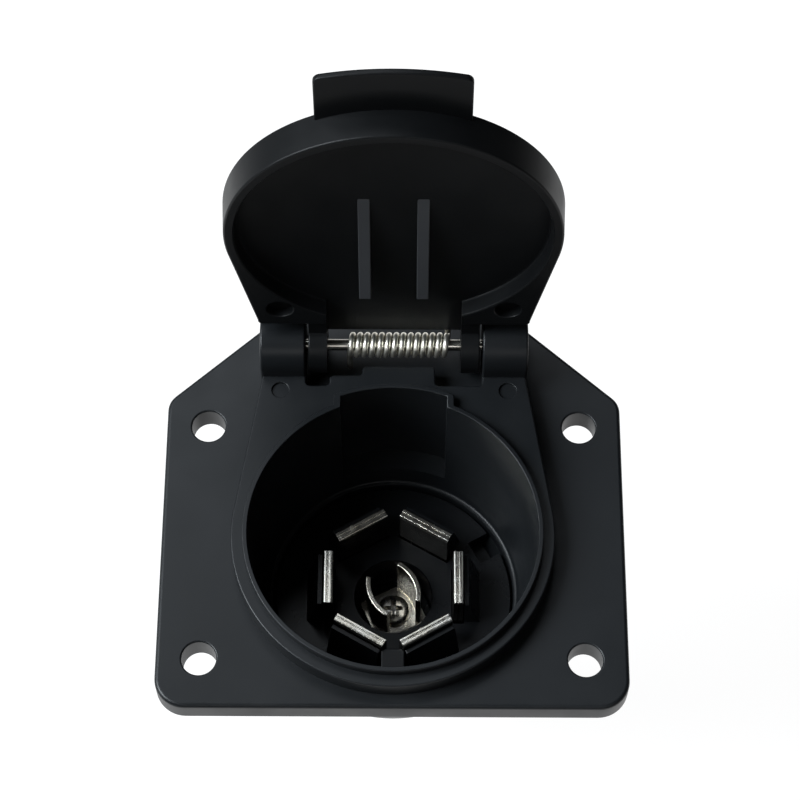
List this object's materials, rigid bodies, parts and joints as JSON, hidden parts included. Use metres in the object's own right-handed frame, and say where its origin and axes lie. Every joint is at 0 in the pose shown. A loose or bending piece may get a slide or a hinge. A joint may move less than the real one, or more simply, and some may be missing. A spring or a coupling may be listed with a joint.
{
  "type": "trailer wiring connector",
  "caption": "Flange-mounted trailer wiring socket with flat blade contacts round a centre contact, a keyed round bore and a spring-hinged protective lid.",
  "frame": {"origin": "where the bore axis crosses the mounting (back) face of the flange", "axes": "+Z out of the bore towards the plug, +Y towards the lid hinge, +X along the hinge pin"},
  "size_m": [0.076, 0.0715, 0.1374],
  "materials": {
    "black_plastic": "satin moulded black plastic",
    "carrier_plastic": "semi-gloss moulded black plastic",
    "tinned_brass": "tin plated brass strip",
    "steel": "bright nickel plated steel",
    "spring_steel": "bright drawn spring wire",
    "rubber": "black moulded rubber"
  },
  "bodies": {
    "socket": {"socket_housing": "black_plastic", "hinge_pin": "steel", "lid_spring": "spring_steel", "contact_carrier": "carrier_plastic", "contact_blade_1": "tinned_brass", "contact_blade_2": "tinned_brass", "contact_blade_3": "tinned_brass", "contact_blade_4": "tinned_brass", "contact_blade_5": "tinned_brass", "contact_blade_6": "tinned_brass", "terminal_screw_1": "steel", "terminal_screw_2": "steel", "terminal_screw_3": "steel", "terminal_screw_4": "steel", "terminal_screw_5": "steel", "terminal_screw_6": "steel", "centre_contact": "tinned_brass", "centre_screw": "steel", "centre_nut": "steel", "rear_cover": "black_plastic", "cable_grommet": "rubber", "cover_screw_1": "steel", "cover_screw_2": "steel"},
    "lid": {"lid": "black_plastic"}
  },
  "joints": [
    {"name": "lid_hinge", "type": "hinge", "parent": "socket", "child": "lid", "pos_m": [0, 0.0335, 0.0105], "axis": [1, 0, 0], "range_deg": [-16, 94], "deforming": ["lid_spring"]}
  ]
}
